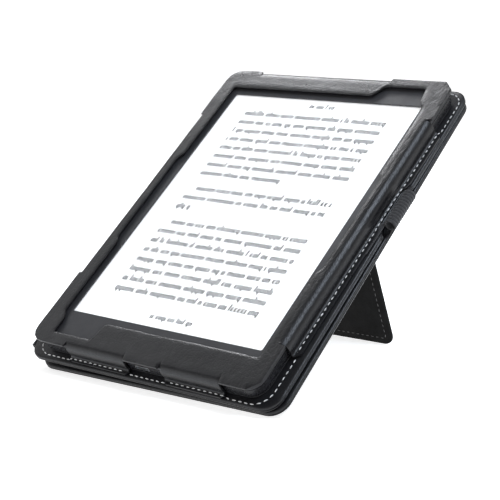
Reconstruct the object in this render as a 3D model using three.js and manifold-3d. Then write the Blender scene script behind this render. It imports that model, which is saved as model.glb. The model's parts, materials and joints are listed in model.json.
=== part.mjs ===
// A 7.8 inch e-reader in its folio case, standing on the case's kickstand.
// Millimetres. +Z is up and the screen faces -Y. The reader's own axes are
// x across the page, y up the page and z out of the screen towards the eye,
// with their origin at the middle of the reader's front face.

import * as THREE from 'three';
import Module from 'manifold-3d';
import { mergeVertices } from 'three/addons/utils/BufferGeometryUtils.js';

const wasm = await Module();
wasm.setup();

// ---------- driving dimensions ----------

const gap = 0.3; // left between neighbouring pieces
const arcSteps = 6; // straight pieces in each rounded corner

// e-reader
const reader = { width: 138.5, height: 195.1, thickness: 6.9, corner: 8 };
const page = { width: 118.8, height: 158.4, middle: 2.3 }; // visible area, and how far above centre it sits
const frontPlate = 0.9; // bezel thickness over the display's edges
const frontRim = 2.0; // bezel thickness round its rim
const shellWall = 1.3; // rear cover's side wall
const shellFloor = 1.0; // rear cover's back

// leather holder around the reader
const lipTop = 2.0; // front of the lip, above the screen
const lipThickness = 1.7;
const leather = 1.45; // wall thickness
const holderPanel = { width: 153.2, height: 205.2, thickness: 2.7, corner: 9 };
const holderFront = -7.9; // front face of the panel behind the reader
const tabWidth = 3.3; // sewn tab at the foot of each wall
const tabThickness = 0.7;
const penLoop = { outer: 3.3, inner: 2.6, length: 21, middle: 19.5, sunk: 3.2 }; // sunk: into the panel's edge
const loopBite = penLoop.length + 2; // how much of the holder's edge is cut away for the loop

// folded-back cover, its spine and its kickstand
const wedge = THREE.MathUtils.degToRad(1.8); // between the reader and the cover behind it
const cover = { left: -75.5, right: 77.4, height: 203.6, thickness: 2.8, front: -13.4, corner: 9 };
const spine = { length: 10.7, thickness: 1.0, height: 188, hingeX: -78, hingeZ: -7.8 };
const flap = { width: 56, length: 104.4, thickness: 1.8, corner: 6, hingeY: 50, open: 72.8 };

// ---------- helpers ----------

function roundedRect(width, height, radius, middleY = 0) {
  const right = width / 2;
  const top = height / 2;
  const outline = new THREE.Shape();
  outline.absarc(right - radius, middleY - top + radius, radius, -Math.PI / 2, 0);
  outline.absarc(right - radius, middleY + top - radius, radius, 0, Math.PI / 2);
  outline.absarc(-right + radius, middleY + top - radius, radius, Math.PI / 2, Math.PI);
  outline.absarc(-right + radius, middleY - top + radius, radius, Math.PI, 1.5 * Math.PI);
  return outline;
}

function polygon(points) {
  return new THREE.Shape(points.map(([x, y]) => new THREE.Vector2(x, y)));
}

// A flat piece between two heights, its edges bevelled by the given amount.
function plate(outline, bottom, top, bevel = 0) {
  const geometry = new THREE.ExtrudeGeometry(outline, {
    depth: top - bottom - 2 * bevel,
    bevelEnabled: bevel > 0,
    bevelThickness: bevel,
    bevelSize: bevel,
    bevelOffset: -bevel,
    bevelSegments: 2,
    curveSegments: arcSteps,
  });
  return geometry.translate(0, 0, bottom + bevel);
}

function box(x, y, z, middle) {
  return new THREE.BoxGeometry(x, y, z).translate(...middle);
}

function disc(radius, bottom, top, x, y) {
  const geometry = new THREE.CylinderGeometry(radius, radius, top - bottom, 20);
  return geometry.rotateX(Math.PI / 2).translate(x, y, (top + bottom) / 2);
}

function solid(geometry) {
  const bare = geometry.clone();
  bare.deleteAttribute('normal');
  bare.deleteAttribute('uv');
  const merged = mergeVertices(bare, 1e-4);
  return new wasm.Manifold(new wasm.Mesh({
    numProp: 3,
    vertProperties: new Float32Array(merged.attributes.position.array),
    triVerts: new Uint32Array(merged.index.array),
  }));
}

function shell(body) {
  const mesh = body.getMesh();
  const geometry = new THREE.BufferGeometry();
  geometry.setAttribute('position', new THREE.BufferAttribute(mesh.vertProperties, 3));
  geometry.setIndex(new THREE.BufferAttribute(mesh.triVerts, 1));
  return geometry;
}

function cut(geometry, ...tools) {
  return shell(tools.reduce((body, tool) => body.subtract(solid(tool)), solid(geometry)));
}

function join(...geometries) {
  return shell(geometries.map(solid).reduce((body, next) => body.add(next)));
}

const finishes = {
  leather: { color: 0x26272a, roughness: 0.55 },
  lining: { color: 0x2e2f31, roughness: 0.95 },
  elastic: { color: 0x17181a, roughness: 0.9 },
  bezel: { color: 0x37383a, roughness: 0.7 },
  shell: { color: 0x1b1c1e, roughness: 0.4 },
  paper: { color: 0xe9e9e6, roughness: 0.9 },
  clear: { color: 0xf4f6f8, roughness: 0.2, transparent: true, opacity: 0.15 },
  board: { color: 0x1d4a33, roughness: 0.6 },
  metal: { color: 0xb5b7ba, roughness: 0.35, metalness: 1 },
  magnesium: { color: 0x8b8d90, roughness: 0.5, metalness: 0.8 },
  cell: { color: 0x2c2d30, roughness: 0.6 },
  film: { color: 0xa8701f, roughness: 0.5 },
  lead: { color: 0x8c1b18, roughness: 0.6 },
};

function piece(name, parent, geometry, finish) {
  const mesh = new THREE.Mesh(geometry, new THREE.MeshStandardMaterial(finishes[finish]));
  mesh.name = name;
  parent.add(mesh);
  return mesh;
}

// ---------- the groups ----------

const object = new THREE.Group();
const stand = new THREE.Group(); // the cover's axes: parallel to the edge it stands on
const tablet = new THREE.Group(); // the reader's axes
stand.add(tablet);
object.add(stand);
tablet.rotation.y = wedge;

// ---------- e-reader: front ----------

function frontBezel() {
  const front = roundedRect(reader.width, reader.height, reader.corner);
  front.holes.push(roundedRect(page.width, page.height, 0.8, page.middle));
  const rim = roundedRect(reader.width, reader.height, reader.corner);
  rim.holes.push(roundedRect(reader.width - 4, reader.height - 4, reader.corner - 2));
  return join(plate(front, -frontPlate, 0, 0.25), plate(rim, -frontRim, -frontPlate / 2));
}
piece('front_bezel', tablet, frontBezel(), 'bezel');

const guideOutline = roundedRect(page.width - 2 * gap, page.height - 2 * gap, 0.8, page.middle);
piece('light_guide', tablet, plate(guideOutline, -0.8, -0.1), 'clear');

const panelTop = -frontPlate - gap;
const panelBottom = -frontRim;
const panelOutline = roundedRect(page.width + 6, page.height + 6, 1, page.middle);
piece('display_panel', tablet, plate(panelOutline, panelBottom, panelTop), 'paper');

const lightY = page.middle - page.height / 2 - 6;
piece('front_light_strip', tablet, box(112, 3, 0.5, [0, lightY, panelTop - 0.25]), 'film');
piece('light_sensor', tablet, box(4, 3, 0.6, [45, reader.height / 2 - 7, panelTop - 0.3]), 'board');

// ---------- e-reader: inside ----------

const carrierTop = panelBottom - gap;
const carrierBottom = carrierTop - 0.8;
const screwPlaces = [[-50, -58], [50, -58], [-50, -85], [50, -85]];
const boardTop = carrierBottom - 0.5;
const boardBottom = boardTop - 0.8;
const floorTop = -reader.thickness + shellFloor;

function midFrame() {
  const outline = roundedRect(reader.width - 5.6, reader.height - 5.6, reader.corner - 3);
  const slot = box(42, 9, 4, [0, -82.5, carrierTop]);
  const lighteners = [-40, 0, 40].map((x) => box(28, 30, 4, [x, 72, carrierTop]));
  const bosses = screwPlaces.map(([x, y]) => disc(2.2, carrierBottom - 0.2, carrierTop - 0.2, x, y));
  const bores = screwPlaces.map(([x, y]) => disc(1.1, carrierBottom - 1, carrierTop + 1, x, y));
  return cut(join(plate(outline, carrierBottom, carrierTop), ...bosses), slot, ...lighteners, ...bores);
}
piece('mid_frame', tablet, midFrame(), 'magnesium');

function mainBoard() {
  const outline = roundedRect(116, 42, 2, -70);
  const bores = screwPlaces.map(([x, y]) => disc(1.3, boardBottom - 1, boardTop + 1, x, y));
  const portNotch = box(12, 8, 4, [0, -91, boardTop]);
  return cut(plate(outline, boardBottom, boardTop), portNotch, ...bores);
}
piece('main_board', tablet, mainBoard(), 'board');

screwPlaces.forEach(([x, y], index) => {
  const head = disc(2, boardBottom - gap - 0.5, boardBottom - gap, x, y);
  const shank = disc(0.75, boardBottom - gap - 0.1, carrierTop - 0.2, x, y);
  piece(`board_screw_${index + 1}`, tablet, join(head, shank), 'metal');
});

function shieldCan(width, height, x, y) {
  return plate(roundedRect(width, height, 1), floorTop + 0.2, boardBottom - gap, 0.15).translate(x, y, 0);
}
piece('processor_shield', tablet, shieldCan(30, 24, -22, -68), 'metal');
piece('radio_shield', tablet, shieldCan(18, 16, 26, -66), 'metal');

const cellOutline = roundedRect(86, 88, 3, 6);
piece('battery', tablet, plate(cellOutline, floorTop + gap, carrierBottom - gap, 0.4), 'cell');
piece('battery_lead', tablet, box(5, 9, 0.6, [30, -43.5, boardBottom - 0.7]), 'lead');

// Ribbon from the display's lower edge, through the carrier's slot, to the board.
function displayFlex() {
  const top = panelBottom - 0.15;
  const low = boardTop + 0.15;
  const ribbon = polygon([
    [-79, top], [-79, top - 0.3], [-83.1, top - 0.3], [-83.1, low],
    [-86, low], [-86, low + 0.3], [-83.4, low + 0.3], [-83.4, top],
  ]);
  const geometry = new THREE.ExtrudeGeometry(ribbon, { depth: 36, bevelEnabled: false });
  geometry.rotateY(Math.PI / 2).rotateX(Math.PI / 2).translate(-18, 0, 0);
  return geometry;
}
piece('display_flex', tablet, displayFlex(), 'film');

piece('wifi_antenna', tablet, box(34, 6, 0.4, [-30, 90, floorTop + 0.5]), 'film');

// ---------- e-reader: rear cover, port and button ----------

const portHeight = -4.45; // middle of the charging port, below the front face
const bottomEdge = -reader.height / 2;
const topEdge = reader.height / 2;
const button = { width: 12, height: 2.2, x: 50, z: -4.4, stroke: 0.5, proud: 0.7 };

function rearCover() {
  const outline = roundedRect(reader.width, reader.height, reader.corner);
  const tall = plate(outline, -reader.thickness, 2, 1.2);
  const aboveSplit = box(200, 260, 10, [0, 0, -frontRim - gap + 5]);
  const inside = roundedRect(reader.width - 2 * shellWall, reader.height - 2 * shellWall, reader.corner - 1.3);
  const cavity = plate(inside, floorTop, 4);
  const portHole = box(9, 6, 3, [0, bottomEdge, portHeight]);
  const buttonHole = box(button.width + 2 * gap, 6, button.height + 2 * gap, [button.x, topEdge, button.z]);
  return cut(tall, aboveSplit, cavity, portHole, buttonHole);
}
piece('rear_cover', tablet, rearCover(), 'shell');

function usbPort() {
  const front = bottomEdge + 0.2;
  const depth = 5.6;
  const body = box(8.4, depth, 2.3, [0, front + depth / 2, portHeight]);
  const mouth = box(7.6, depth, 1.5, [0, front + depth / 2 - 0.8, portHeight]);
  const tongue = box(5.6, depth - 1.6, 0.4, [0, front + depth / 2 + 0.4, portHeight]);
  return join(cut(body, mouth), tongue);
}
piece('usb_port', tablet, usbPort(), 'metal');

function powerButton() {
  const cap = roundedRect(button.width, button.height, 1);
  const flange = box(button.width + 2, 0.6, button.height, [0, 0, 0]);
  const key = plate(cap, 0, shellWall + gap + button.proud, 0.25).rotateX(-Math.PI / 2);
  const flangeY = topEdge - shellWall - gap - 0.3;
  return join(flange, key.translate(0, -0.1, 0)).translate(button.x, flangeY, button.z);
}
piece('power_button', tablet, powerButton(), 'shell');

const switchDepth = 3;
const switchTop = topEdge - shellWall - gap - 0.6 - button.stroke - 0.1;
const switchMiddle = [button.x, switchTop - switchDepth / 2, button.z];
piece('power_switch', tablet, box(6, switchDepth, 1.8, switchMiddle), 'metal');

// ---------- leather holder ----------

// The window shows the page and a little bezel. It is stepped at the middle of
// each long side and has a sloping notch at two opposite corners.
const windowEdge = [
  [62, -82], [62, -32], [64.3, -29], [64.3, 29], [62, 32], [62, 79], [58, 82.5], [57, 92.3],
  [33, 92.3], [28.5, 85], [-62, 85], [-62, 32], [-64.3, 29], [-64.3, -29], [-62, -32],
  [-62, -79], [-59, -82.5], [-59, -92.5], [-33.5, -92.5], [-31.5, -82],
];
const lipCorner = { clip: 5, round: 8 }; // the right-hand corners are cut off square, the others rounded
const lipHalf = { x: reader.width / 2 + 0.35 + leather, y: reader.height / 2 + 0.35 + leather };

// Where the lip folds over the reader's edge and is sewn down behind it. The
// lip is open between these stretches: at the corners and at the port.
const wallRuns = [
  { turn: 0, from: -73, to: 71 }, // right
  { turn: 90, from: -34, to: 50 }, // top
  { turn: 180, from: -62, to: 55 }, // left
  { turn: 270, from: -47, to: -8 }, // bottom, either side of the port
  { turn: 270, from: 14, to: 50 },
];

function wallRun({ turn, from, to }) {
  const outer = turn % 180 === 0 ? lipHalf.x : lipHalf.y;
  const foot = holderFront + 0.4;
  const profile = polygon([
    [outer - leather, 1], [outer - leather, foot], [outer + tabWidth, foot],
    [outer + tabWidth, foot + tabThickness], [outer, foot + tabThickness], [outer, 1],
  ]);
  const geometry = new THREE.ExtrudeGeometry(profile, { depth: to - from, bevelEnabled: false });
  geometry.rotateX(Math.PI / 2).translate(0, to, 0);
  return geometry.rotateZ(THREE.MathUtils.degToRad(turn));
}

function holderFrame() {
  const lip = new THREE.Shape();
  lip.moveTo(lipHalf.x - lipCorner.clip, -lipHalf.y);
  lip.lineTo(lipHalf.x, -lipHalf.y + lipCorner.clip);
  lip.lineTo(lipHalf.x, lipHalf.y - lipCorner.clip);
  lip.lineTo(lipHalf.x - lipCorner.clip, lipHalf.y);
  const { round } = lipCorner;
  lip.absarc(-lipHalf.x + round, lipHalf.y - round, round, Math.PI / 2, Math.PI);
  lip.absarc(-lipHalf.x + round, -lipHalf.y + round, round, Math.PI, 1.5 * Math.PI);
  lip.holes.push(polygon(windowEdge));
  const body = join(plate(lip, lipTop - lipThickness, lipTop, 0.5), ...wallRuns.map(wallRun));
  const besideLoop = box(8, loopBite, 4, [lipHalf.x + 2 + 4, penLoop.middle, holderFront]);
  return cut(body, besideLoop);
}
piece('holder_frame', tablet, holderFrame(), 'leather');

const liningOutline = roundedRect(reader.width - 1, reader.height - 1, reader.corner);
piece('holder_lining', tablet, plate(liningOutline, holderFront + gap, holderFront + 0.7), 'lining');

function holderBack() {
  const outline = roundedRect(holderPanel.width, holderPanel.height, holderPanel.corner);
  const back = plate(outline, holderFront - holderPanel.thickness, holderFront, 0.9);
  const loopNotch = box(2 * penLoop.sunk, loopBite, 8, [holderPanel.width / 2, penLoop.middle, holderFront - 1]);
  return cut(back, loopNotch);
}
piece('holder_panel', tablet, holderBack(), 'leather');

const penAxis = { x: holderPanel.width / 2 - penLoop.sunk + gap + penLoop.outer, z: -7 };

function penSleeve() {
  const ring = new THREE.Shape();
  ring.absarc(0, 0, penLoop.outer, 0, 2 * Math.PI);
  const bore = new THREE.Path();
  bore.absarc(0, 0, penLoop.inner, 0, 2 * Math.PI);
  ring.holes.push(bore);
  const sleeve = new THREE.ExtrudeGeometry(ring, { depth: penLoop.length, bevelEnabled: false, curveSegments: 12 });
  const low = penLoop.middle - penLoop.length / 2;
  return sleeve.rotateX(-Math.PI / 2).translate(penAxis.x, low, penAxis.z);
}
piece('pen_loop', tablet, penSleeve(), 'elastic');

// ---------- spine ----------

// The spine strip turns on the holder's left edge at one side and on the
// cover's inner face at the other. Its slope follows from its length.
const coverBack = cover.front - cover.thickness;
const holderHinge = new THREE.Vector3(spine.hingeX, 0, spine.hingeZ);
holderHinge.applyAxisAngle(new THREE.Vector3(0, 1, 0), wedge);
const coverHingeZ = coverBack + gap;
const spineDrop = holderHinge.z - coverHingeZ;
const spineAngle = Math.asin(spineDrop / spine.length);

function spineStrip() {
  const half = spine.thickness / 2;
  const profile = new THREE.Shape();
  profile.absarc(0, 0, half, Math.PI / 2, 1.5 * Math.PI);
  profile.absarc(spine.length, 0, half, -Math.PI / 2, Math.PI / 2);
  const strip = new THREE.ExtrudeGeometry(profile, {
    depth: spine.height,
    bevelEnabled: false,
    curveSegments: arcSteps,
  });
  return strip.rotateX(-Math.PI / 2).translate(0, -spine.height / 2, 0);
}
const strip = piece('spine_strip', stand, spineStrip(), 'leather');
strip.position.copy(holderHinge);
strip.rotation.y = spineAngle;

// ---------- cover ----------

const coverWidth = cover.right - cover.left;
const coverMiddle = (cover.right + cover.left) / 2;
const liningDepth = 0.7;
const magnetPlaces = [[60, 70], [60, -70]];

function coverPanel() {
  const outline = roundedRect(coverWidth, cover.height, cover.corner);
  const blank = plate(outline, coverBack, cover.front, 0.7);
  const recess = roundedRect(coverWidth - 16, cover.height - 16, cover.corner - 4);
  const bed = plate(recess, coverBack - 1, coverBack + liningDepth);
  const pockets = magnetPlaces.map(([x, y]) => box(11, 11, 3, [x, y, coverBack + liningDepth]));
  return cut(blank, bed, ...pockets).translate(coverMiddle, 0, 0);
}
piece('cover_panel', stand, coverPanel(), 'leather');

function coverLining() {
  const outline = roundedRect(coverWidth - 17, cover.height - 17, cover.corner - 4);
  return plate(outline, coverBack, coverBack + liningDepth - gap).translate(coverMiddle, 0, 0);
}
piece('cover_lining', stand, coverLining(), 'lining');

magnetPlaces.forEach(([x, y], index) => {
  const middle = [x + coverMiddle, y, coverBack + liningDepth + 0.6];
  piece(`sleep_magnet_${index + 1}`, stand, box(10, 10, 1.1, middle), 'metal');
});

// ---------- kickstand ----------

const flapHingeZ = coverBack - 1.3;
const hingeStrip = { length: 14, thickness: 0.8, off: 1.4 }; // off: from the flap's hinge

const stripMiddle = [0, flap.hingeY + hingeStrip.off + hingeStrip.length / 2, coverBack - gap - hingeStrip.thickness / 2];
const stripBox = box(flap.width - 2, hingeStrip.length, hingeStrip.thickness, stripMiddle);
piece('stand_hinge_strip', stand, stripBox, 'leather');

function kickstandFlap() {
  const half = flap.thickness / 2;
  const right = flap.width / 2;
  const outline = new THREE.Shape();
  outline.moveTo(right, 0);
  outline.lineTo(-right, 0);
  outline.absarc(-right + flap.corner, -flap.length + flap.corner, flap.corner, Math.PI, 1.5 * Math.PI);
  outline.absarc(right - flap.corner, -flap.length + flap.corner, flap.corner, 1.5 * Math.PI, 2 * Math.PI);
  const barrel = new THREE.CylinderGeometry(half, half, flap.width, 16).rotateZ(Math.PI / 2);
  return join(plate(outline, -half, half), barrel);
}
const kick = piece('kickstand_flap', stand, kickstandFlap(), 'leather');
kick.position.set(0, flap.hingeY, flapHingeZ);
kick.rotation.x = THREE.MathUtils.degToRad(flap.open);

// ---------- standing ----------

// The cover's lower back edge and the flap's foot touch the table together,
// which sets how far the whole thing leans.
const edgeBevel = 0.7;
const heel = new THREE.Vector3(0, -cover.height / 2 + edgeBevel, coverBack);
const foot = new THREE.Vector3(0, -flap.length, flap.thickness / 2);
foot.applyAxisAngle(new THREE.Vector3(1, 0, 0), kick.rotation.x).add(kick.position);
stand.rotation.x = Math.atan2(heel.z - foot.z, foot.y - heel.y);

object.updateMatrixWorld(true);
const bounds = new THREE.Box3().setFromObject(object, true);
const middle = bounds.getCenter(new THREE.Vector3());
stand.position.set(-middle.x, -middle.y, -bounds.min.z);

export default object;
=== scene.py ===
import json
import math
import random

import bmesh
import bpy
from mathutils import Matrix, Vector


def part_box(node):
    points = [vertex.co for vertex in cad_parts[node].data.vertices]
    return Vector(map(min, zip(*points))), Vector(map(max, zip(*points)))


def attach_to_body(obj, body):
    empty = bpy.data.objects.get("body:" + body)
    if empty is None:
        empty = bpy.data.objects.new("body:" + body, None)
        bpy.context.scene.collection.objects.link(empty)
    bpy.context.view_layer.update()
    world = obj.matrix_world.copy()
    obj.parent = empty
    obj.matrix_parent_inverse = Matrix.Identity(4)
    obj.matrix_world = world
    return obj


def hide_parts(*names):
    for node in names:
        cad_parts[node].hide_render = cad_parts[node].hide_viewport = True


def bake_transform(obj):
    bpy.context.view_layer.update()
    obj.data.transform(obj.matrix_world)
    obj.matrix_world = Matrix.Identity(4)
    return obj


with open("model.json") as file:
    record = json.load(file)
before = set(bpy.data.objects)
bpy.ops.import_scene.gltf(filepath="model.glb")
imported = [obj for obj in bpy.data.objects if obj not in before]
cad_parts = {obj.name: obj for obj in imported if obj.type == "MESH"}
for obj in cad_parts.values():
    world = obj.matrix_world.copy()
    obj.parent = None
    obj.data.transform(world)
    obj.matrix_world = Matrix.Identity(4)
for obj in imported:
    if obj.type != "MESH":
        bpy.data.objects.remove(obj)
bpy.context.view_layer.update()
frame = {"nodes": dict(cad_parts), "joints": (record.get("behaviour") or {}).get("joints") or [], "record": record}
dice = random.Random(7)

# the reader's own axes: x across the page, y up the page, z out of the screen, in millimetres
record = frame["record"]
joints = {joint["name"]: joint for joint in frame["joints"]}
foldAxis = Vector(joints["cover_fold"]["axis"])
lean = math.atan2(foldAxis.z, foldAxis.y)
wedge = math.asin(record["mounts"][0]["axis"][0])
standTurn = Matrix.Rotation(lean, 4, "X")
readerTurn = standTurn @ Matrix.Rotation(wedge, 4, "Y")
guideLow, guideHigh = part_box("light_guide")
origin = (guideLow + guideHigh) / 2 - readerTurn @ Vector((0, 0.0023, -0.00045))
millimetres = Matrix.Scale(0.001, 4)
toReader = Matrix.Translation(origin) @ readerTurn @ millimetres
toStand = Matrix.Translation(origin) @ standTurn @ millimetres
flapHinge = Vector(joints["kickstand_fold"]["pos_m"])
flapOpen = math.radians(-joints["kickstand_fold"]["range_deg"][0])
toFlap = Matrix.Translation(flapHinge) @ standTurn @ Matrix.Rotation(flapOpen, 4, "X") @ millimetres

# ---- camera, floor and light

view = {
    "spot": (432.8, -342.6, 411.6),
    "look": (-0.6229, 0.4797, -0.6180),
    "up": (-0.1222, 0.7206, 0.6825),
    "lens": 101.25,
}


studio = {
    "sky": 0.36, "horizon": 1.3, "floorGlow": 0.72,
    # each lamp: where it stands, what it looks at, its size in metres, its power and its tint
    "lamps": {
        "frontLight": ((-1.0, -0.2, 0.95), (0, 0.03, 0.1), (0.7, 0.6), 1.5, (0.96, 0.97, 1)),
        "ridgeLight": ((0.55, -0.05, 1.0), (0, 0, 0.07), (0.3, 0.8), 9, (0.78, 0.87, 1)),
        "topLight": ((-0.85, 0.5, 1.1), (0, 0.05, 0.12), (0.4, 0.35), 9, (0.96, 0.97, 1)),
    },
}


def makeCamera():
    bpy.ops.object.select_all(action="DESELECT")
    bpy.ops.object.camera_add()
    camera = bpy.context.object
    camera.name = "camera"
    look = (readerTurn.to_3x3() @ Vector(view["look"])).normalized()
    side = look.cross(readerTurn.to_3x3() @ Vector(view["up"])).normalized()
    turn = Matrix((side, side.cross(look), -look)).transposed()
    camera.matrix_world = Matrix.Translation(toReader @ Vector(view["spot"])) @ turn.to_4x4()
    camera.data.lens = view["lens"]
    camera.data.sensor_width = 36
    camera.data.clip_start = 0.01
    bpy.context.scene.camera = camera


def softLight(name, spot, aim, size, power, tint):
    bpy.ops.object.light_add(type="AREA", location=spot)
    lamp = bpy.context.object
    lamp.name = name
    lamp.rotation_euler = (Vector(aim) - Vector(spot)).to_track_quat("-Z", "Y").to_euler()
    lamp.data.shape = "RECTANGLE"
    lamp.data.size, lamp.data.size_y = size
    lamp.data.energy = power
    lamp.data.color = tint


def makeStudio():
    bpy.ops.mesh.primitive_plane_add(size=80)
    floor = bpy.context.object
    floor.name = "floor"
    paper, tree, shader = plain("floorPaper", (0.9, 0.9, 0.9), 0.9)
    shader.inputs["Emission Color"].default_value = (1, 1, 1, 1)
    shader.inputs["Emission Strength"].default_value = studio["floorGlow"]
    floor.data.materials.append(paper)
    world = bpy.data.worlds.new("studio")
    world.use_nodes = True
    tree = world.node_tree
    direction = addNode(tree, "ShaderNodeTexCoord").outputs["Generated"]
    height = addNode(tree, "ShaderNodeSeparateXYZ", {"Vector": direction})
    glow = spread(tree, height.outputs["Z"], studio["horizon"], studio["sky"], 0.15, 0.45)
    tree.links.new(glow, tree.nodes["Background"].inputs["Strength"])
    tree.nodes["Background"].inputs["Color"].default_value = (1, 1, 1, 1)
    bpy.context.scene.world = world
    bpy.context.scene.view_settings.view_transform = "Standard"
    for name, lamp in studio["lamps"].items():
        softLight(name, *lamp)


# ---- materials

def plain(name, tint, roughness):
    material = bpy.data.materials.new(name)
    material.use_nodes = True
    shader = material.node_tree.nodes["Principled BSDF"]
    shader.inputs["Base Color"].default_value = (*tint, 1)
    shader.inputs["Roughness"].default_value = roughness
    return material, material.node_tree, shader


def addNode(tree, kind, inputs=None, **settings):
    node = tree.nodes.new(kind)
    for key, value in settings.items():
        setattr(node, key, value)
    for key, value in (inputs or {}).items():
        if isinstance(value, bpy.types.NodeSocket):
            tree.links.new(value, node.inputs[key])
        else:
            node.inputs[key].default_value = value
    return node


def place(tree, scale=(1, 1, 1), turn=(0, 0, 0)):
    spot = addNode(tree, "ShaderNodeTexCoord")
    return addNode(tree, "ShaderNodeMapping", {
        "Vector": spot.outputs["Object"], "Scale": scale, "Rotation": turn,
    }).outputs["Vector"]


def noise(tree, where, scale, detail=3, rough=0.6):
    return addNode(tree, "ShaderNodeTexNoise", {
        "Vector": where, "Scale": scale, "Detail": detail, "Roughness": rough,
    }).outputs["Fac"]


def spread(tree, value, low, high, fromLow=0.3, fromHigh=0.7):
    return addNode(tree, "ShaderNodeMapRange", {
        "Value": value, "From Min": fromLow, "From Max": fromHigh, "To Min": low, "To Max": high,
    }).outputs["Result"]


def tones(tree, shader, value, dark, light):
    ramp = addNode(tree, "ShaderNodeValToRGB", {"Fac": value})
    ramp.color_ramp.elements[0].position = 0.3
    ramp.color_ramp.elements[1].position = 0.7
    ramp.color_ramp.elements[0].color = (*dark, 1)
    ramp.color_ramp.elements[1].color = (*light, 1)
    tree.links.new(ramp.outputs["Color"], shader.inputs["Base Color"])


def relief(tree, shader, *layers):
    # each layer is a height, how strong it is and how deep in metres
    normal = None
    for height, strength, depth in layers:
        inputs = {"Height": height, "Strength": strength, "Distance": depth}
        if normal:
            inputs["Normal"] = normal
        normal = addNode(tree, "ShaderNodeBump", inputs).outputs["Normal"]
    tree.links.new(normal, shader.inputs["Normal"])


def cells(tree, where, scale, feature="F1"):
    pattern = addNode(tree, "ShaderNodeTexVoronoi", {"Vector": where, "Scale": scale}, feature=feature)
    return pattern.outputs["Distance"]


leatherLook = {
    "dark": (0.005, 0.005, 0.006),
    "light": (0.009, 0.009, 0.010),
    "roughness": (0.27, 0.36),
    "shine": 0.3,
    "grain": 1500,
    "creases": 620,
}


def leatherMaterial(name, dark, light, roughness, shine):
    material, tree, shader = plain(name, dark, 0.5)
    shader.inputs["Specular IOR Level"].default_value = shine
    where = place(tree)
    stretched = place(tree, (1, 0.55, 0.7), (0.6, 0.2, 0.9))
    grain = cells(tree, where, leatherLook["grain"])
    creases = cells(tree, stretched, leatherLook["creases"], "DISTANCE_TO_EDGE")
    creaseLine = spread(tree, creases, 0, 1, 0.0, 0.12)
    waves = noise(tree, where, 90, 4)
    tones(tree, shader, noise(tree, where, 140, 5), dark, light)
    tree.links.new(spread(tree, waves, *roughness), shader.inputs["Roughness"])
    relief(tree, shader, (creaseLine, 0.2, 0.0002), (waves, 0.3, 0.0007), (grain, 0.4, 0.0001))
    return material


def liningMaterial():
    material, tree, shader = plain("microfibreLining", (0.03, 0.03, 0.032), 0.95)
    where = place(tree)
    tones(tree, shader, noise(tree, where, 60, 6), (0.014, 0.014, 0.015), (0.028, 0.028, 0.03))
    shader.inputs["Specular IOR Level"].default_value = 0.15
    shader.inputs["Sheen Weight"].default_value = 0.06
    shader.inputs["Sheen Roughness"].default_value = 0.5
    relief(tree, shader, (noise(tree, where, 2600, 4), 0.6, 0.0002))
    return material


def elasticMaterial():
    material, tree, shader = plain("ribbedElastic", (0.012, 0.012, 0.013), 0.85)
    where = place(tree)
    threads = cells(tree, place(tree, (1, 1, 1), (-lean, 0, 0)), 2200)
    tones(tree, shader, noise(tree, where, 500, 3), (0.007, 0.007, 0.008), (0.02, 0.02, 0.022))
    shader.inputs["Sheen Weight"].default_value = 0.2
    relief(tree, shader, (threads, 0.7, 0.00015))
    return material


def threadMaterial(name, dark, light):
    material, tree, shader = plain(name, light, 0.75)
    where = place(tree, (1, 1, 1), (0.5, 0.4, 0))
    wave = addNode(tree, "ShaderNodeTexWave", {"Vector": where, "Scale": 900, "Distortion": 1.5})
    tones(tree, shader, noise(tree, where, 400, 2), dark, light)
    relief(tree, shader, (wave.outputs["Fac"], 0.6, 0.0001))
    return material


def plasticMaterial(name, dark, light, roughness, grain=2600, depth=0.00003, shine=0.4):
    material, tree, shader = plain(name, dark, 0.5)
    shader.inputs["Specular IOR Level"].default_value = shine
    where = place(tree)
    tones(tree, shader, noise(tree, where, 45, 4), dark, light)
    tree.links.new(spread(tree, noise(tree, where, 120, 4), *roughness), shader.inputs["Roughness"])
    relief(tree, shader, (noise(tree, where, grain, 3), 0.5, depth))
    return material


def paperMaterial():
    material, tree, shader = plain("whitePage", (0.88, 0.88, 0.87), 0.85)
    where = place(tree)
    tones(tree, shader, noise(tree, where, 900, 3), (0.84, 0.84, 0.835), (0.88, 0.88, 0.875))
    # painted light: the page's glow is partly the reader's front light and partly set strong enough to keep the
    # page white under the dim lamps
    shader.inputs["Emission Color"].default_value = (1, 1, 1, 1)
    shader.inputs["Emission Strength"].default_value = 0.38
    relief(tree, shader, (noise(tree, where, 3500, 2), 0.2, 0.00002))
    return material


def guideMaterial():
    material, tree, shader = plain("clearGuide", (0.97, 0.98, 1), 0.32)
    shader.inputs["Alpha"].default_value = 0.025
    relief(tree, shader, (noise(tree, place(tree), 3800, 2), 0.15, 0.00002))
    return material


def metalMaterial(name, dark, light, roughness, streaks):
    material, tree, shader = plain(name, light, 0.35)
    where = place(tree, streaks)
    tones(tree, shader, noise(tree, where, 300, 4), dark, light)
    shader.inputs["Metallic"].default_value = 1
    tree.links.new(spread(tree, noise(tree, where, 700, 4), *roughness), shader.inputs["Roughness"])
    relief(tree, shader, (noise(tree, where, 1500, 3), 0.3, 0.00003))
    return material


makeCamera()
makeStudio()

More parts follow.
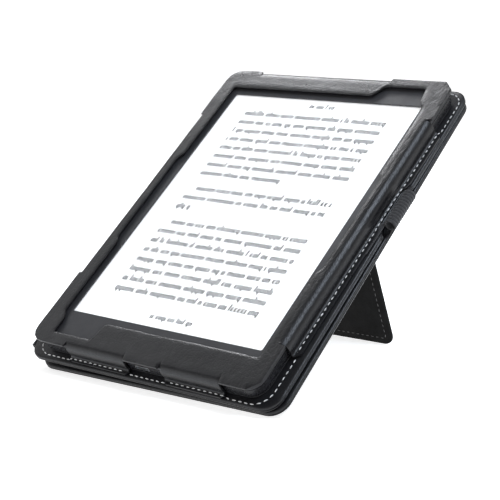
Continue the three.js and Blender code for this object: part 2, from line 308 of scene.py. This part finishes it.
softLeather = leatherMaterial(
    "softLeather", leatherLook["dark"], leatherLook["light"], leatherLook["roughness"], leatherLook["shine"])
mattLeather = leatherMaterial("mattLeather", (0.004, 0.004, 0.004), (0.007, 0.007, 0.007), (0.66, 0.8), 0.12)
lining = liningMaterial()
elastic = elasticMaterial()
whiteThread = threadMaterial("whiteThread", (0.5, 0.5, 0.5), (0.85, 0.85, 0.84))
greyThread = threadMaterial("greyThread", (0.05, 0.05, 0.05), (0.12, 0.12, 0.12))
bezelPlastic = plasticMaterial("bezelPlastic", (0.018, 0.018, 0.02), (0.024, 0.024, 0.027), (0.5, 0.62))
shellPlastic = plasticMaterial(
    "shellPlastic", (0.006, 0.006, 0.007), (0.01, 0.01, 0.012), (0.22, 0.3), 1200, 0.000004)
inkBlack = plasticMaterial("inkBlack", (0.004, 0.004, 0.004), (0.012, 0.012, 0.012), (0.8, 0.9), shine=0.1)
whitePage = paperMaterial()
clearGuide = guideMaterial()
boardGreen = plasticMaterial(
    "boardGreen", (0.006, 0.04, 0.018), (0.012, 0.075, 0.035), (0.35, 0.5), 900, 0.00005)
steel = metalMaterial("springSteel", (0.42, 0.43, 0.44), (0.66, 0.67, 0.69), (0.25, 0.4), (1, 6, 1))
magnesium = metalMaterial("castMagnesium", (0.2, 0.2, 0.21), (0.34, 0.34, 0.35), (0.5, 0.65), (1, 1, 1))
cellWrap = plasticMaterial("cellWrap", (0.02, 0.02, 0.023), (0.04, 0.04, 0.044), (0.35, 0.5), 300, 0.0001)
amberFilm = plasticMaterial("amberFilm", (0.26, 0.11, 0.012), (0.4, 0.18, 0.03), (0.25, 0.35), 700, 0.00004)
redLead = plasticMaterial("redLead", (0.2, 0.012, 0.01), (0.32, 0.025, 0.02), (0.45, 0.6), 900, 0.00005)
print("materials ready")

# ---- the e-reader keeps its solids

nodeFinishes = {
    bezelPlastic: ["front_bezel"],
    shellPlastic: ["rear_cover", "power_button"],
    whitePage: ["display_panel"],
    clearGuide: ["light_guide"],
    boardGreen: ["main_board", "light_sensor"],
    steel: ["board_screw_1", "board_screw_2", "board_screw_3", "board_screw_4", "processor_shield",
            "radio_shield", "usb_port", "power_switch", "sleep_magnet_1", "sleep_magnet_2"],
    magnesium: ["mid_frame"],
    cellWrap: ["battery"],
    amberFilm: ["display_flex", "wifi_antenna", "front_light_strip"],
    redLead: ["battery_lead"],
    lining: ["holder_lining", "cover_lining"],
}
for material, names in nodeFinishes.items():
    for name in names:
        frame["nodes"][name].data.materials.clear()
        frame["nodes"][name].data.materials.append(material)

# ---- modelling helpers


def startEditing(piece):
    bpy.ops.object.select_all(action="DESELECT")
    piece.select_set(True)
    bpy.context.view_layer.objects.active = piece
    bpy.ops.object.mode_set(mode="EDIT")


def outlineObject(name, outline, height, fill):
    bpy.ops.object.select_all(action="DESELECT")
    bpy.ops.mesh.primitive_circle_add(vertices=len(outline), radius=1, fill_type=fill)
    piece = bpy.context.object
    piece.name = name
    for vertex, (x, y) in zip(piece.data.vertices, outline):
        vertex.co = (x, y, height)
    startEditing(piece)
    bpy.ops.mesh.select_all(action="SELECT")
    return piece


# moves what is selected so that each point of the old outline lands on the new one
def reshape(piece, old, new, height):
    shape = bmesh.from_edit_mesh(piece.data)
    places = {(round(x, 3), round(y, 3)): index for index, (x, y) in enumerate(old)}
    for vertex in shape.verts:
        if vertex.select:
            index = places.get((round(vertex.co.x, 3), round(vertex.co.y, 3)))
            if index is None:
                flat = vertex.co.xy
                index = min(range(len(old)), key=lambda i: (Vector(old[i]) - flat).length_squared)
            vertex.co = (*new[index], height)
    bmesh.update_edit_mesh(piece.data)


# a closed solid built up from one outline to the next, each at its own height
def stack(name, levels):
    piece = outlineObject(name, *levels[0], "NGON")
    for below, above in zip(levels, levels[1:]):
        bpy.ops.mesh.extrude_region_move()
        reshape(piece, below[0], *above)
    bpy.ops.mesh.select_all(action="SELECT")
    bpy.ops.mesh.normals_make_consistent(inside=False)
    bpy.ops.object.mode_set(mode="OBJECT")
    return piece


def modify(piece, kind, **settings):
    bpy.context.view_layer.objects.active = piece
    modifier = piece.modifiers.new(kind.lower(), kind)
    for key, value in settings.items():
        setattr(modifier, key, value)
    bpy.ops.object.modifier_apply(modifier=modifier.name)


# lets a leather face wander a little, as a glued skin does
def ripple(piece, size, amount):
    texture = bpy.data.textures.new(piece.name + "Ripple", "CLOUDS")
    texture.noise_scale = size
    modify(piece, "DISPLACE", texture=texture, strength=amount, mid_level=0.5, texture_coords="LOCAL")


def settle(piece, matrix, material, angle=40):
    bpy.ops.object.select_all(action="DESELECT")
    piece.select_set(True)
    bpy.context.view_layer.objects.active = piece
    piece.data.transform(matrix)
    piece.data.materials.clear()
    piece.data.materials.append(material)
    bpy.ops.object.shade_smooth_by_angle(angle=math.radians(angle))
    return piece


def attach(piece, body, slot, *nodes):
    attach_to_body(piece, body)
    if nodes:
        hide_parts(*nodes)


def roundedOutline(halfX, halfY, radius, middleX=0, inset=0, sides=(30, 40), arc=8):
    halfX, halfY, radius = halfX - inset, halfY - inset, max(radius - inset, 0.4)
    corners = [(1, -1, -90), (1, 1, 0), (-1, 1, 90), (-1, -1, 180)]
    points = []
    for number, (signX, signY, start) in enumerate(corners):
        middle = Vector((signX * (halfX - radius) + middleX, signY * (halfY - radius)))
        for step in range(arc + 1):
            angle = math.radians(start + 90 * step / arc)
            points.append(middle + radius * Vector((math.cos(angle), math.sin(angle))))
        nextX, nextY, nextStart = corners[(number + 1) % 4]
        nextMiddle = Vector((nextX * (halfX - radius) + middleX, nextY * (halfY - radius)))
        nextAngle = math.radians(nextStart)
        ahead = nextMiddle + radius * Vector((math.cos(nextAngle), math.sin(nextAngle)))
        count = sides[1] if number % 2 == 0 else sides[0]
        last = points[-1].copy()
        points += [last.lerp(ahead, step / count) for step in range(1, count)]
    return [tuple(point) for point in points]


# short threads laid along a line of points, all in one mesh
def stitchRow(name, path, pitch, length, radius, material, matrix, upward=1, skip=None):
    bpy.ops.object.select_all(action="DESELECT")
    bpy.ops.mesh.primitive_uv_sphere_add(segments=6, ring_count=4, radius=1)
    piece = bpy.context.object
    piece.name = name
    seed = [vertex.co.copy() for vertex in piece.data.vertices]
    seedFaces = [tuple(face.vertices) for face in piece.data.polygons]
    ends = path[1:] + path[:1]
    total = sum((Vector(b) - Vector(a)).length for a, b in zip(path, ends))
    step = total / round(total / pitch)
    points, faces, walked, due = [], [], 0, step / 2
    for a, b in zip(path, ends):
        a, b = Vector(a), Vector(b)
        span = (b - a).length
        while due <= walked + span and span > 0:
            middle = a.lerp(b, (due - walked) / span)
            due += step
            if skip and skip(middle):
                continue
            along = (b - a).normalized()
            rise = Vector((0, 0, upward))
            across = rise.cross(along)
            lift = dice.uniform(-0.05, 0.05)
            skew = dice.uniform(-0.09, 0.09)
            start = len(points)
            for co in seed:
                dip = 0.45 * radius * co.z * co.z
                points.append(middle + along * co.z * length / 2 + across * (co.x * radius + skew * co.z)
                              + rise * (co.y * radius * 0.8 - dip + lift * co.z))
            faces += [tuple(start + index for index in face) for face in seedFaces]
        walked += span
    piece.data.clear_geometry()
    piece.data.from_pydata(points, [], faces)
    startEditing(piece)
    bpy.ops.mesh.select_all(action="SELECT")
    bpy.ops.mesh.normals_make_consistent(inside=False)
    bpy.ops.object.mode_set(mode="OBJECT")
    return settle(piece, matrix, material, 60)


# ---- holder: the padded lip, its folded walls and its sewn tabs

lip = {
    "halfX": 70.9, "halfY": 99.2, "topEdge": 98.1,
    "top": 2.02, "edgeTop": 1.78, "skin": 1.05,
    "foot": -6.4, "slit": 0.45, "slant": 0.8, "slantRun": 3,
    "fold": {"right": 4.0, "top": 4.6, "left": 2.4, "bottom": 3.2},
    "clip": 5, "round": 8,
    "walls": {"right": [(-73, 71)], "top": [(-50, 34)], "left": [(-55, 62)], "bottom": [(-47, -8), (14, 50)]},
    "tab": {"right": 3.1, "left": 3.1, "top": 2.1, "bottom": 2.1},
}
windowSides = {
    "right": [(62, -82), (62, -32), (64.3, -29), (64.3, 29), (62, 32), (62, 79), (58, 82.5), (57, 92.3)],
    "top": [(57, 92.3), (33, 92.3), (28.5, 85), (-62, 85)],
    "left": [(-62, 85), (-62, 32), (-64.3, 29), (-64.3, -29), (-62, -32), (-62, -79), (-59, -82.5),
             (-59, -92.5)],
    "bottom": [(-59, -92.5), (-33.5, -92.5), (-31.5, -82), (62, -82)],
}
outward = {"right": Vector((1, 0)), "top": Vector((0, 1)), "left": Vector((-1, 0)), "bottom": Vector((0, -1))}


def bend(before, corner, after, radius, count):
    # points of a small arc that rounds off a corner
    first, second = (before - corner).normalized(), (after - corner).normalized()
    reach = min(radius, 0.45 * (before - corner).length, 0.45 * (after - corner).length)
    start, end = corner + first * reach, corner + second * reach
    result = []
    for step in range(count):
        t = step / (count - 1)
        result.append(start * (1 - t) ** 2 + corner * 2 * t * (1 - t) + end * t * t)
    return result


# one side's places along the window's edge: (inner point, outer point, whether the lip folds there)
def sideStations(side):
    edge = [Vector(point) for point in windowSides[side]]
    normal = outward[side]
    along = Vector((-normal.y, normal.x))
    limit = lip["halfX"] if abs(normal.x) > 0.5 else lip["halfY"]
    path = []
    for index in range(len(edge) - 1):
        if index:
            path += bend(edge[index - 1], edge[index], edge[index + 1], 2.2, 4)
        else:
            path.append(edge[0] + (edge[1] - edge[0]).normalized() * 1.6)
    path.append(edge[-1] + (edge[-2] - edge[-1]).normalized() * 1.6)
    marks = []
    for low, high in lip["walls"][side]:
        marks += [low - lip["slit"], low + lip["slit"], high - lip["slit"], high + lip["slit"]]
    flip = -1 if side in ("top", "left") else 1
    cuts = sorted((mark * flip for mark in marks))
    stations = []
    for a, b in zip(path, path[1:]):
        low, high = a.dot(along), b.dot(along)
        inside = [cut for cut in cuts if low + 0.05 < cut < high - 0.05]
        steps = [low] + inside
        for s, e in zip(steps, inside + [high]):
            count = max(1, round((e - s) / 3.2))
            for step in range(count):
                value = s + (e - s) * step / count
                t = (value - low) / (high - low) if high - low > 1e-6 else 0
                stations.append(a.lerp(b, t))
    stations.append(path[-1])
    result = []
    for inner in stations:
        value = inner.dot(along)
        folds = any(low <= value * flip <= high for low, high in lip["walls"][side])
        edge = lip["topEdge"] if side == "top" else limit
        reach = limit - lip["fold"][side] if folds else edge
        result.append((inner, along * value + normal * reach, side if folds else None))
    return result


def cornerStations(before, after, corner, path):
    # the window's corner, rounded, against the lip's own corner
    count = 9
    inner = bend(before, corner, after, 1.6, count)
    lengths = [0]
    for a, b in zip(path, path[1:]):
        lengths.append(lengths[-1] + (b - a).length)
    result = []
    for step in range(1, count - 1):
        goal = lengths[-1] * step / (count - 1)
        nearest = min(range(len(path)), key=lambda i: abs(lengths[i] - goal))
        if abs(lengths[nearest] - goal) < lengths[-1] / (count - 1) / 2 and 0 < nearest < len(path) - 1:
            outer = path[nearest]
        else:
            index = max(i for i in range(len(path) - 1) if lengths[i] <= goal)
            share = (goal - lengths[index]) / (lengths[index + 1] - lengths[index])
            outer = path[index].lerp(path[index + 1], share)
        result.append((inner[step], outer, None))
    return result


def lipStations():
    x, y, top, clip, turn = lip["halfX"], lip["halfY"], lip["topEdge"], lip["clip"], lip["round"]
    order = ["right", "top", "left", "bottom"]
    sides = {side: sideStations(side) for side in order}

    def arcPath(middle, start):
        angles = [math.radians(start + 90 * step / 4) for step in range(5)]
        return [middle + turn * Vector((math.cos(angle), math.sin(angle))) for angle in angles]

    cornerPaths = {
        "right": [Vector((x, top - clip)), Vector((x - clip, top))],
        "top": arcPath(Vector((-x + turn, top - turn)), 90),
        "left": arcPath(Vector((-x + turn, -y + turn)), 180),
        "bottom": [Vector((x - clip, -y)), Vector((x, -y + clip))],
    }
    stations = []
    for number, side in enumerate(order):
        following = order[(number + 1) % 4]
        stations += sides[side]
        corner = Vector(windowSides[side][-1])
        path = [sides[side][-1][1]] + cornerPaths[side] + [sides[following][0][1]]
        before, after = Vector(windowSides[side][-2]), Vector(windowSides[following][1])
        stations += cornerStations(before, after, corner, path)
    return stations


def makeHolderFrame():
    stations = lipStations()
    inner = [tuple(station[0]) for station in stations]
    piece = outlineObject("holder_leather", inner, lip["edgeTop"], "NOTHING")
    rings = [(0.9, lip["top"] - 0.04), (2.2, lip["top"] + 0.05)]
    previous = inner
    for distance, height in rings:
        ring = [tuple(a.lerp(b, distance / (b - a).length)) for a, b, side in stations]
        bpy.ops.mesh.extrude_edges_move()
        reshape(piece, previous, ring, height)
        previous = ring
    for share in (0.5, 1):
        ring = [tuple(Vector(start).lerp(b, share)) for start, (a, b, side) in zip(ring, stations)]
        bpy.ops.mesh.extrude_edges_move()
        reshape(piece, previous, ring, lip["top"])
        previous = ring
    outer = {(round(b.x, 3), round(b.y, 3)): side for a, b, side in stations}
    arcSteps = 5
    for side, normal in outward.items():
        bpy.ops.mesh.select_all(action="DESELECT")
        bpy.ops.mesh.select_mode(type="EDGE")
        shape = bmesh.from_edit_mesh(piece.data)
        for edge in shape.edges:
            keys = [(round(v.co.x, 3), round(v.co.y, 3)) for v in edge.verts]
            rim = len(edge.link_faces) == 1 and all(abs(v.co.z - lip["top"]) < 1e-4 for v in edge.verts)
            if rim and all(outer.get(key) == side for key in keys):
                edge.select = True
        bmesh.update_edit_mesh(piece.data)
        radius = lip["fold"][side]
        track = [Vector((radius * math.sin(math.radians(90 * step / arcSteps)),
                         radius * math.cos(math.radians(90 * step / arcSteps)) - radius))
                 for step in range(arcSteps + 1)]
        wallFoot = lip["foot"] - lip["top"]
        reach = radius + lip["tab"][side]
        track += [Vector((radius + 0.02, 0.5 * (wallFoot - radius))), Vector((radius - 0.3, wallFoot + 1.5)),
                  Vector((radius - 0.15, wallFoot + 0.5)), Vector((radius + 0.45, wallFoot + 0.05)),
                  Vector((reach - 0.5, wallFoot)), Vector((reach, wallFoot - 0.05))]
        for a, b in zip(track, track[1:]):
            move = b - a
            bpy.ops.mesh.extrude_edges_move(
                TRANSFORM_OT_translate={"value": (normal.x * move.x, normal.y * move.x, move.y)})
    bpy.ops.mesh.select_all(action="SELECT")
    bpy.ops.mesh.normals_make_consistent(inside=False)
    bpy.ops.object.mode_set(mode="OBJECT")
    flat = [face for face in piece.data.polygons if abs(face.normal.z) > 0.9 and face.center.z > 1]
    if sum(face.normal.z for face in flat) < 0:
        startEditing(piece)
        bpy.ops.mesh.select_all(action="SELECT")
        bpy.ops.mesh.flip_normals()
        bpy.ops.object.mode_set(mode="OBJECT")
    # the tabs' ends are cut on a slant, and the panel's edge dips in beside the pen loop
    for vertex in piece.data.vertices:
        for side, normal in outward.items():
            limit = lip["halfX"] if abs(normal.x) > 0.5 else lip["halfY"]
            out = vertex.co.xy.dot(normal) - limit
            if out > 0.8 and vertex.co.z < -5:
                along = Vector((abs(normal.y), abs(normal.x)))
                value = vertex.co.xy.dot(along)
                for low, high in lip["walls"][side]:
                    inward = Vector((along.x, along.y, 0)) * min(out, lip["slantRun"]) * lip["slant"]
                    if abs(value - low) < lip["slantRun"]:
                        vertex.co += inward * (1 - abs(value - low) / (2 * lip["slantRun"]))
                    elif abs(value - high) < lip["slantRun"]:
                        vertex.co -= inward * (1 - abs(value - high) / (2 * lip["slantRun"]))
        if vertex.co.x > lip["halfX"] + 0.8 and vertex.co.z < -5:
            vertex.co.x -= min(2.2, vertex.co.x - lip["halfX"] - 0.8) * penDip(vertex.co.y)
    modify(piece, "SOLIDIFY", thickness=lip["skin"], offset=-1, use_even_offset=True,
           use_quality_normals=True)
    modify(piece, "BEVEL", width=0.42, segments=3, limit_method="ANGLE", angle_limit=math.radians(50))
    modify(piece, "SUBSURF", subdivision_type="SIMPLE", levels=1, render_levels=1)
    ripple(piece, 14, 0.28)
    attach(settle(piece, toReader, softLeather, 50), "holder", "leather", "holder_frame")


penLoop = {
    "middle": 19.5, "length": 21, "outer": 3.3, "inner": 2.55,
    "x": 77.0, "z": -7.0, "ribs": 12, "dip": 3.3,
}


def penDip(y):
    away = abs(y - penLoop["middle"]) - penLoop["length"] / 2
    share = min(1, max(0, 1 - (away - 0.8) / 5))
    return share * share * (3 - 2 * share)


makeHolderFrame()
print("holder leather ready")

# ---- holder: the board behind the reader

board = {"halfX": 76.6, "halfY": 102.6, "corner": 9, "front": -7.9, "back": -10.6, "askew": 0.018}


# cut and folded by hand, so the far edges aren't quite square
def askew(outline, amount):
    lean = amount / 152
    return [(x - lean * (y + 60) * (x + 76), y + 0.00004 * (x + 76) * (102 - y)) for x, y in outline]


def withDip(outline):
    return [(x - penLoop["dip"] * penDip(y), y) if x > 70 else (x, y) for x, y in outline]


def makeHolderBoard():
    profile = [(0.9, 0), (0.28, 0.24), (0.02, 0.62), (0.02, 0.95), (0.42, 1.2), (0.42, 1.42),
               (0.02, 1.66), (0.0, 2.1), (0.26, 2.48), (0.9, 2.7)]
    levels = []
    for inset, rise in profile:
        outline = roundedOutline(board["halfX"], board["halfY"], board["corner"], inset=inset, sides=(44, 60))
        levels.append((withDip(askew(outline, board["askew"])), board["back"] + rise))
    piece = stack("holder_board", levels)
    attach(settle(piece, toReader, softLeather, 50), "holder", "leather", "holder_panel")


def seamOutline(insetX, insetY, corner, height):
    points = []
    for x, y in roundedOutline(board["halfX"] - insetX, board["halfY"] - insetY, corner, sides=(44, 60)):
        points.append((x - 0.5 * penDip(y) if x > 60 else x, y, height(x, y)))
    return points


def onTab(x, y):
    for side, normal in outward.items():
        value = x * abs(normal.y) + y * abs(normal.x)
        limit = lip["halfX"] if abs(normal.x) > 0.5 else lip["halfY"]
        beside = any(low + 1 < value < high - 1 for low, high in lip["walls"][side])
        if beside and Vector((x, y)).dot(normal) > limit - 1:
            return True
    return False


def makeHolderSeam():
    path = seamOutline(4.6, 2.6, 9, lambda x, y: lip["foot"] + 0.06 if onTab(x, y) else board["front"] + 0.1)
    row = stitchRow("holder_seam", path, 3.3, 2.2, 0.3, whiteThread, toReader)
    attach(row, "holder", "leather")


makeHolderBoard()
makeHolderSeam()
print("holder board ready")

# ---- pen loop


def makePenLoop():
    ribs = penLoop["ribs"]
    half = penLoop["length"] / 2
    profile = []
    for rib in range(ribs):
        start = -half + 2 * half * rib / ribs
        width = 2 * half / ribs
        for share, sink in ((0, 0.34), (0.2, 0.08), (0.5, 0), (0.8, 0.08)):
            profile.append((penLoop["outer"] - sink, start + share * width))
    inside = penLoop["inner"]
    profile += [(penLoop["outer"] - 0.34, half), (inside + 0.12, half), (inside, half - 0.4),
                (inside, 0), (inside, -half + 0.4), (inside + 0.12, -half)]
    piece = outlineObject("pen_sleeve", profile, 0, "NOTHING")
    bpy.ops.mesh.spin(steps=30, angle=2 * math.pi, center=(0, 0, 0), axis=(0, 1, 0), use_auto_merge=True)
    bpy.ops.mesh.select_all(action="SELECT")
    bpy.ops.mesh.remove_doubles(threshold=0.001)
    bpy.ops.mesh.normals_make_consistent(inside=False)
    bpy.ops.object.mode_set(mode="OBJECT")
    for vertex in piece.data.vertices:
        # the sleeve is pulled a little flat where it is sewn in
        vertex.co.z *= 0.96
        if vertex.co.x < 0:
            vertex.co.x *= 0.9
    piece.data.transform(Matrix.Translation((penLoop["x"], penLoop["middle"], penLoop["z"])))
    attach(settle(piece, toReader, elastic, 60), "holder", "elastic", "pen_loop")

    tail = stack("pen_loop_tail", [
        (roundedOutline(1.6, half - 0.5, 0.5, 72.6, sides=(4, 12), inset=0.2), -7.55),
        (roundedOutline(1.6, half - 0.5, 0.5, 72.6, sides=(4, 12)), -7.35),
        (roundedOutline(1.6, half - 0.5, 0.5, 72.6, sides=(4, 12)), -6.95),
        (roundedOutline(1.6, half - 0.5, 0.5, 72.6, sides=(4, 12), inset=0.3), -6.7),
    ])
    attach(settle(tail, toReader, elastic, 50), "holder", "elastic")


makePenLoop()
print("pen loop ready")

# ---- spine: leather from the holder's edge to the middle of the spine, and from there to the cover

spineLeather = {"height": 193, "thickness": 0.85}


# a sheet that follows a line of bends, (x, z) for one that runs along y and (y, z) for one along x
def bentSheet(name, line, low, high, thickness, steps=36, alongX=False):
    bpy.ops.object.select_all(action="DESELECT")
    bpy.ops.mesh.primitive_grid_add(x_subdivisions=len(line) - 1, y_subdivisions=steps, size=2)
    piece = bpy.context.object
    piece.name = name
    for vertex in piece.data.vertices:
        index = round((vertex.co.x + 1) / 2 * (len(line) - 1))
        side, z = line[index]
        reach = low + (high - low) * (vertex.co.y + 1) / 2
        vertex.co = (reach, side, z) if alongX else (side, reach, z)
    modify(piece, "SUBSURF", levels=1, render_levels=1)
    modify(piece, "SOLIDIFY", thickness=thickness, offset=0, use_even_offset=True)
    modify(piece, "BEVEL", width=0.2, segments=2, limit_method="ANGLE", angle_limit=math.radians(50))
    return piece


def makeSpine():
    half = spineLeather["height"] / 2
    front = [(-76.4, -6.75), (-76.8, -6.45), (-77.3, -6.15), (-77.95, -6.0), (-78.45, -6.4),
             (-78.6, -7.2), (-78.5, -8.4), (-78.2, -9.6), (-77.85, -10.6), (-77.6, -11.4)]
    upper = bentSheet("spine_leather_front", front, -half, half, spineLeather["thickness"])
    settle(upper, toStand, softLeather, 50)
    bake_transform(upper)
    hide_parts("spine_strip")
    back = [(-77.62, -10.4), (-77.5, -11.6), (-77.3, -12.8), (-77.1, -14), (-76.95, -15), (-76.8, -15.8),
            (-76.4, -16.4), (-75.7, -16.66), (-74.9, -16.7), (-74, -16.7), (-73, -16.68)]
    lower = bentSheet("spine_leather_back", back, -half, half, spineLeather["thickness"] - 0.05)
    settle(lower, toStand, softLeather, 50)
    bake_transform(lower)


makeSpine()
print("spine ready")

# ---- cover

cover = {
    "halfX": 76.45, "halfY": 101.8, "middle": 0.95, "corner": 9,
    "back": -16.2, "border": 8.2, "askew": 0.027,
}


def coverOutline(inset):
    return roundedOutline(cover["halfX"], cover["halfY"], cover["corner"], cover["middle"], inset, (44, 60))


def makeCover():
    border = cover["border"]
    profile = [(border + 0.1, 0.62), (border, 0.05), (border - 0.3, 0), (0.9, 0), (0.28, 0.2), (0.02, 0.55),
               (0.02, 0.95), (0.4, 1.12), (0.4, 1.3), (0.05, 1.48), (0.0, 1.95), (0.08, 2.3), (0.4, 2.62),
               (1.0, 2.8)]
    levels = []
    for inset, rise in profile:
        # the recess for the lining stays square
        outline = coverOutline(inset)
        levels.append((outline if inset > 5 else askew(outline, cover["askew"]), cover["back"] + rise))
    piece = stack("cover_leather", levels)
    attach(settle(piece, toStand, softLeather, 50), "cover", "leather", "cover_panel")
    path = [(x, y, cover["back"] - 0.08) for x, y in askew(coverOutline(3.2), cover["askew"])]
    row = stitchRow("cover_seam", path, 3.3, 2.2, 0.28, whiteThread, toStand, -1,
                    skip=lambda spot: spot.x < -70)
    attach(row, "cover", "leather")


makeCover()
print("cover ready")

# ---- kickstand

flap = {"halfX": 28, "length": 104.4, "thickness": 1.8, "corner": 6, "hingeHalf": 26.4}


def flapOutline(inset):
    points = []
    halfX, foot, corner = flap["halfX"] - inset, -flap["length"] + inset, flap["corner"] - inset
    for signX, start in ((-1, 180), (1, 270)):
        for step in range(9):
            angle = math.radians(start + 90 * step / 8)
            across = signX * (halfX - corner) + corner * math.cos(angle)
            points.append((across, foot + corner + corner * math.sin(angle)))
        if signX < 0:
            straight = 2 * halfX - 2 * corner
            points += [(-halfX + corner + straight * step / 14, foot) for step in range(1, 14)]
    top = -0.4 - inset
    low = foot + corner
    points += [(halfX, low + (top - low) * step / 22) for step in range(1, 23)]
    points += [(halfX - 2 * halfX * step / 14, top) for step in range(1, 15)]
    points += [(-halfX, top + (low - top) * step / 22) for step in range(1, 22)]
    return points


def makeKickstand():
    half = flap["thickness"] / 2
    profile = [(0.6, -half), (0.16, -half + 0.16), (0, -0.3), (0.12, 0), (0, 0.3), (0.16, half - 0.16),
               (0.6, half)]
    piece = stack("kickstand_leather", [(flapOutline(inset), height) for inset, height in profile])
    attach(settle(piece, toFlap, mattLeather, 50), "kickstand", "leather", "kickstand_flap")
    for name, height, upward in (("flap_seam_front", half + 0.06, 1), ("flap_seam_back", -half - 0.06, -1)):
        path = [(x, y, height) for x, y in flapOutline(4)]
        row = stitchRow(name, path, 3.2, 2.1, 0.26, greyThread, toFlap, upward, skip=lambda spot: spot.y > -7)
        attach(row, "kickstand", "leather")


# the leather hinge, from the cover's face into the flap's top edge
def makeFlapHinge():
    hinge = standTurn.to_3x3().inverted() @ (flapHinge - origin) * 1000
    fold = Matrix.Rotation(flapOpen, 3, "X")
    line = [(hinge.y + away, -16.72 - 0.04 * step) for step, away in enumerate((15.5, 13, 10, 7, 4.4, 2.8))]
    line += [(hinge.y + 1.5, -17.05), (hinge.y + 0.5, -17.45)]
    for distance in (0.8, 2, 3.4):
        spot = hinge + fold @ Vector((0, -distance, 0))
        line.append((spot.y, spot.z))
    piece = bentSheet("flap_hinge", line, -flap["hingeHalf"], flap["hingeHalf"], 0.75, 16, True)
    settle(piece, toStand, mattLeather, 50)
    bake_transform(piece)
    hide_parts("stand_hinge_strip")


makeKickstand()
makeFlapHinge()
print("kickstand ready")

# ---- the page: rows of strokes that only look like print

pageText = {
    "left": -45.5, "right": 44.8, "top": 76, "first": 67.2, "leading": 6.5, "xHeight": 2.5, "slant": 0.1,
    "gap": 4.6, "foot": -71.5,
    "paragraphs": [(8, 0.6, 0), (3, 0.13, 4.5), (8, 1, 4.5)],
}


def strokeBox(points, faces, x, y, width, height, slant):
    start = len(points)
    bottom, top = -1.19, -1.13
    for z in (bottom, top):
        points += [(x, y, z), (x + width, y, z)]
        points += [(x + width + slant * height, y + height, z), (x + slant * height, y + height, z)]
    for face in ((3, 2, 1, 0), (4, 5, 6, 7), (0, 1, 5, 4), (1, 2, 6, 5), (2, 3, 7, 6), (3, 0, 4, 7)):
        faces.append(tuple(start + index for index in face))


# marks of several widths, made of stems and bars in no alphabet's order: (bars, how wide it is)
# each bar is left, bottom, width and height, in shares of the small letters' height
markShapes = {
    "stem": ([(0, 0, 0.3, 1), (-0.1, 0, 0.5, 0.18)], 0.5),
    "tall": ([(0, 0, 0.3, 1.55), (-0.1, 1.4, 0.38, 0.18)], 0.52),
    "arch": ([(0, 0, 0.28, 1), (0.5, 0, 0.28, 0.88), (0.14, 0.76, 0.5, 0.24)], 0.94),
    "cup": ([(0, 0.1, 0.28, 0.9), (0.5, 0, 0.28, 1), (0.1, 0, 0.46, 0.24)], 0.94),
    "round": ([(0, 0.14, 0.28, 0.72), (0.52, 0.14, 0.28, 0.72), (0.12, 0, 0.54, 0.24),
               (0.12, 0.78, 0.54, 0.24)], 0.96),
    "open": ([(0, 0.14, 0.28, 0.72), (0.12, 0, 0.52, 0.22), (0.12, 0.8, 0.46, 0.22),
              (0.16, 0.42, 0.4, 0.18)], 0.82),
    "tail": ([(0, 0.14, 0.28, 0.72), (0.5, -0.5, 0.28, 1.5), (0.12, 0, 0.48, 0.2),
              (0.12, 0.8, 0.48, 0.2)], 0.96),
    "wide": ([(0, 0, 0.28, 1), (0.5, 0, 0.28, 0.9), (1.0, 0, 0.28, 0.9), (0.12, 0.77, 0.96, 0.24)], 1.46),
}


def drawMark(points, faces, kind, x, y, size):
    high = pageText["xHeight"] * size
    for left, low, width, height in markShapes[kind][0]:
        start, level = x + (left + pageText["slant"] * low) * high, y + low * high
        strokeBox(points, faces, start, level, width * high, height * high, pageText["slant"])


def wordWidth(word, size):
    return sum(markShapes[kind][1] for kind in word) * pageText["xHeight"] * size


def wordOf(length):
    kinds = ["stem", "arch", "round", "open", "tall", "cup", "stem", "round", "open", "tail", "arch", "wide"]
    return [dice.choice(kinds) for _ in range(length)]


def rowOf(points, faces, left, right, y, size, justified=True):
    words, width, space, misses = [], 0, 1.0 * size, 0
    while misses < 12:
        word = wordOf(dice.choice([2, 2, 3, 3, 4, 4, 5, 5, 6, 7]) if misses < 6 else 1)
        if width + wordWidth(word, size) + space * len(words) > right - left:
            misses += 1
            continue
        words.append(word)
        width += wordWidth(word, size)
    dice.shuffle(words)
    gaps = max(1, len(words) - 1)
    gap = (right - left - width) / gaps if justified else space
    x = left
    for word in words:
        for kind in word:
            drawMark(points, faces, kind, x, y, size)
            x += wordWidth([kind], size)
        x += gap


def makePrint():
    points, faces = [], []
    y = pageText["top"]
    rowOf(points, faces, -7.5, 8.5, y, 0.8)
    y = pageText["first"]
    for rows, lastShare, indent in pageText["paragraphs"]:
        for number in range(rows):
            left = pageText["left"] + (indent if number == 0 else 0)
            last = number == rows - 1 and lastShare < 1
            full = pageText["right"] - pageText["left"]
            right = pageText["left"] + full * lastShare if last else pageText["right"]
            rowOf(points, faces, left, right, y, 1, not last)
            y -= pageText["leading"]
        y -= pageText["gap"]
    rowOf(points, faces, -13, 13.5, pageText["foot"], 0.8)
    bpy.ops.object.select_all(action="DESELECT")
    bpy.ops.mesh.primitive_cube_add(size=1)
    piece = bpy.context.object
    piece.name = "page_marks"
    piece.data.clear_geometry()
    piece.data.from_pydata(points, [], faces)
    attach(settle(piece, toReader, inkBlack, 30), "holder", "display")


makePrint()
print("page ready")
